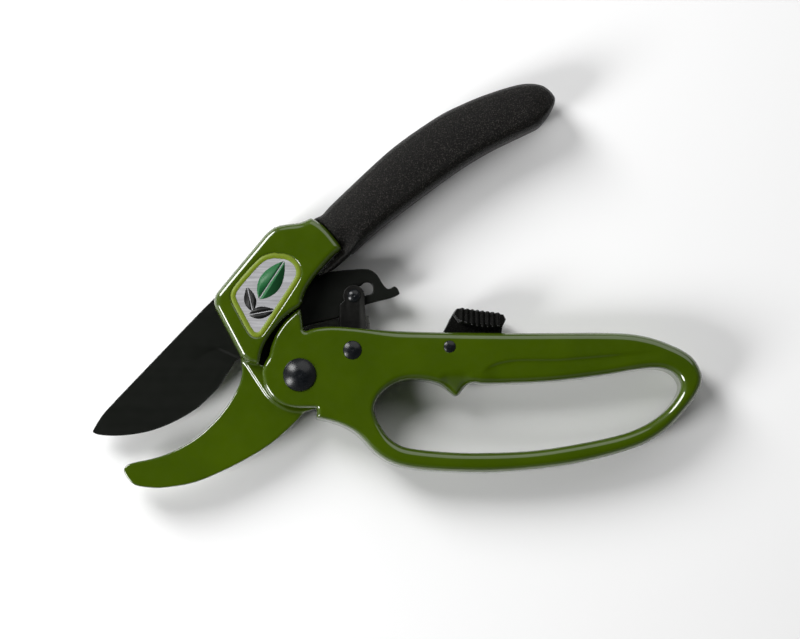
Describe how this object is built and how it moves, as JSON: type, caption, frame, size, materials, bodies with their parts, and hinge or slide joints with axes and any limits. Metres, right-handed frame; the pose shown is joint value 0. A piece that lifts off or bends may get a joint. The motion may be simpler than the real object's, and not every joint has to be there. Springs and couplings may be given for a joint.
{
  "type": "pruning shears",
  "caption": "Bypass ratchet pruning shears with a hooked jaw, a notched blade tail driven by a link, a finger loop handle and a thumb latch.",
  "frame": {"origin": "on the main pivot's axis, at the back face of the pivot bolt and nut", "axes": "+Z along the pivot bolt towards its domed head, -X towards the blade's tip, +Y towards the upper handle"},
  "size_m": [0.2033, 0.136, 0.0194],
  "materials": {
    "green_paint": "gloss",
    "label_metal": "brushed",
    "black_grip": "textured",
    "black_steel": "satin",
    "dark_rivet": "gloss",
    "spring_steel": "satin",
    "black_plastic": "satin"
  },
  "bodies": {
    "upper": {"upper_handle": "green_paint", "label_plate": "label_metal", "grip_sleeve": "black_grip", "front_washer": "spring_steel", "return_spring": "spring_steel", "pivot_bolt": "dark_rivet", "pivot_nut": "spring_steel", "rear_washer": "spring_steel"},
    "lower": {"lower_handle": "green_paint", "link_rivet": "dark_rivet", "latch_pin": "dark_rivet", "latch_spring": "spring_steel"},
    "cutter": {"blade": "black_steel", "blade_bushing": "spring_steel", "blade_washer": "spring_steel"},
    "link": {"link_front_plate": "black_steel", "link_rear_plate": "black_steel", "link_spacer": "spring_steel", "drive_pin": "dark_rivet", "link_spring": "spring_steel"},
    "latch": {"thumb_latch": "black_plastic"}
  },
  "joints": [
    {"name": "handle_pivot", "type": "hinge", "parent": "upper", "child": "lower", "pos_m": [0, 0, 0.009], "axis": [0, 0, 1], "range_deg": [-14, 24]},
    {"name": "blade_index", "type": "hinge", "parent": "lower", "child": "cutter", "pos_m": [0, 0, 0.009], "axis": [0, 0, 1], "range_deg": [-16, 0]},
    {"name": "link_swing", "type": "hinge", "parent": "lower", "child": "link", "pos_m": [0.0175, 0.0083, 0.009], "axis": [0, 0, 1], "range_deg": [-40, 0]},
    {"name": "latch_pivot", "type": "hinge", "parent": "lower", "child": "latch", "pos_m": [0.0499, 0.0096, 0.009], "axis": [0, 0, 1], "range_deg": [0, 16]}
  ],
  "couplings": [
    {"joint": "link_swing", "follows": "blade_index", "ratio": 2.5}
  ]
}
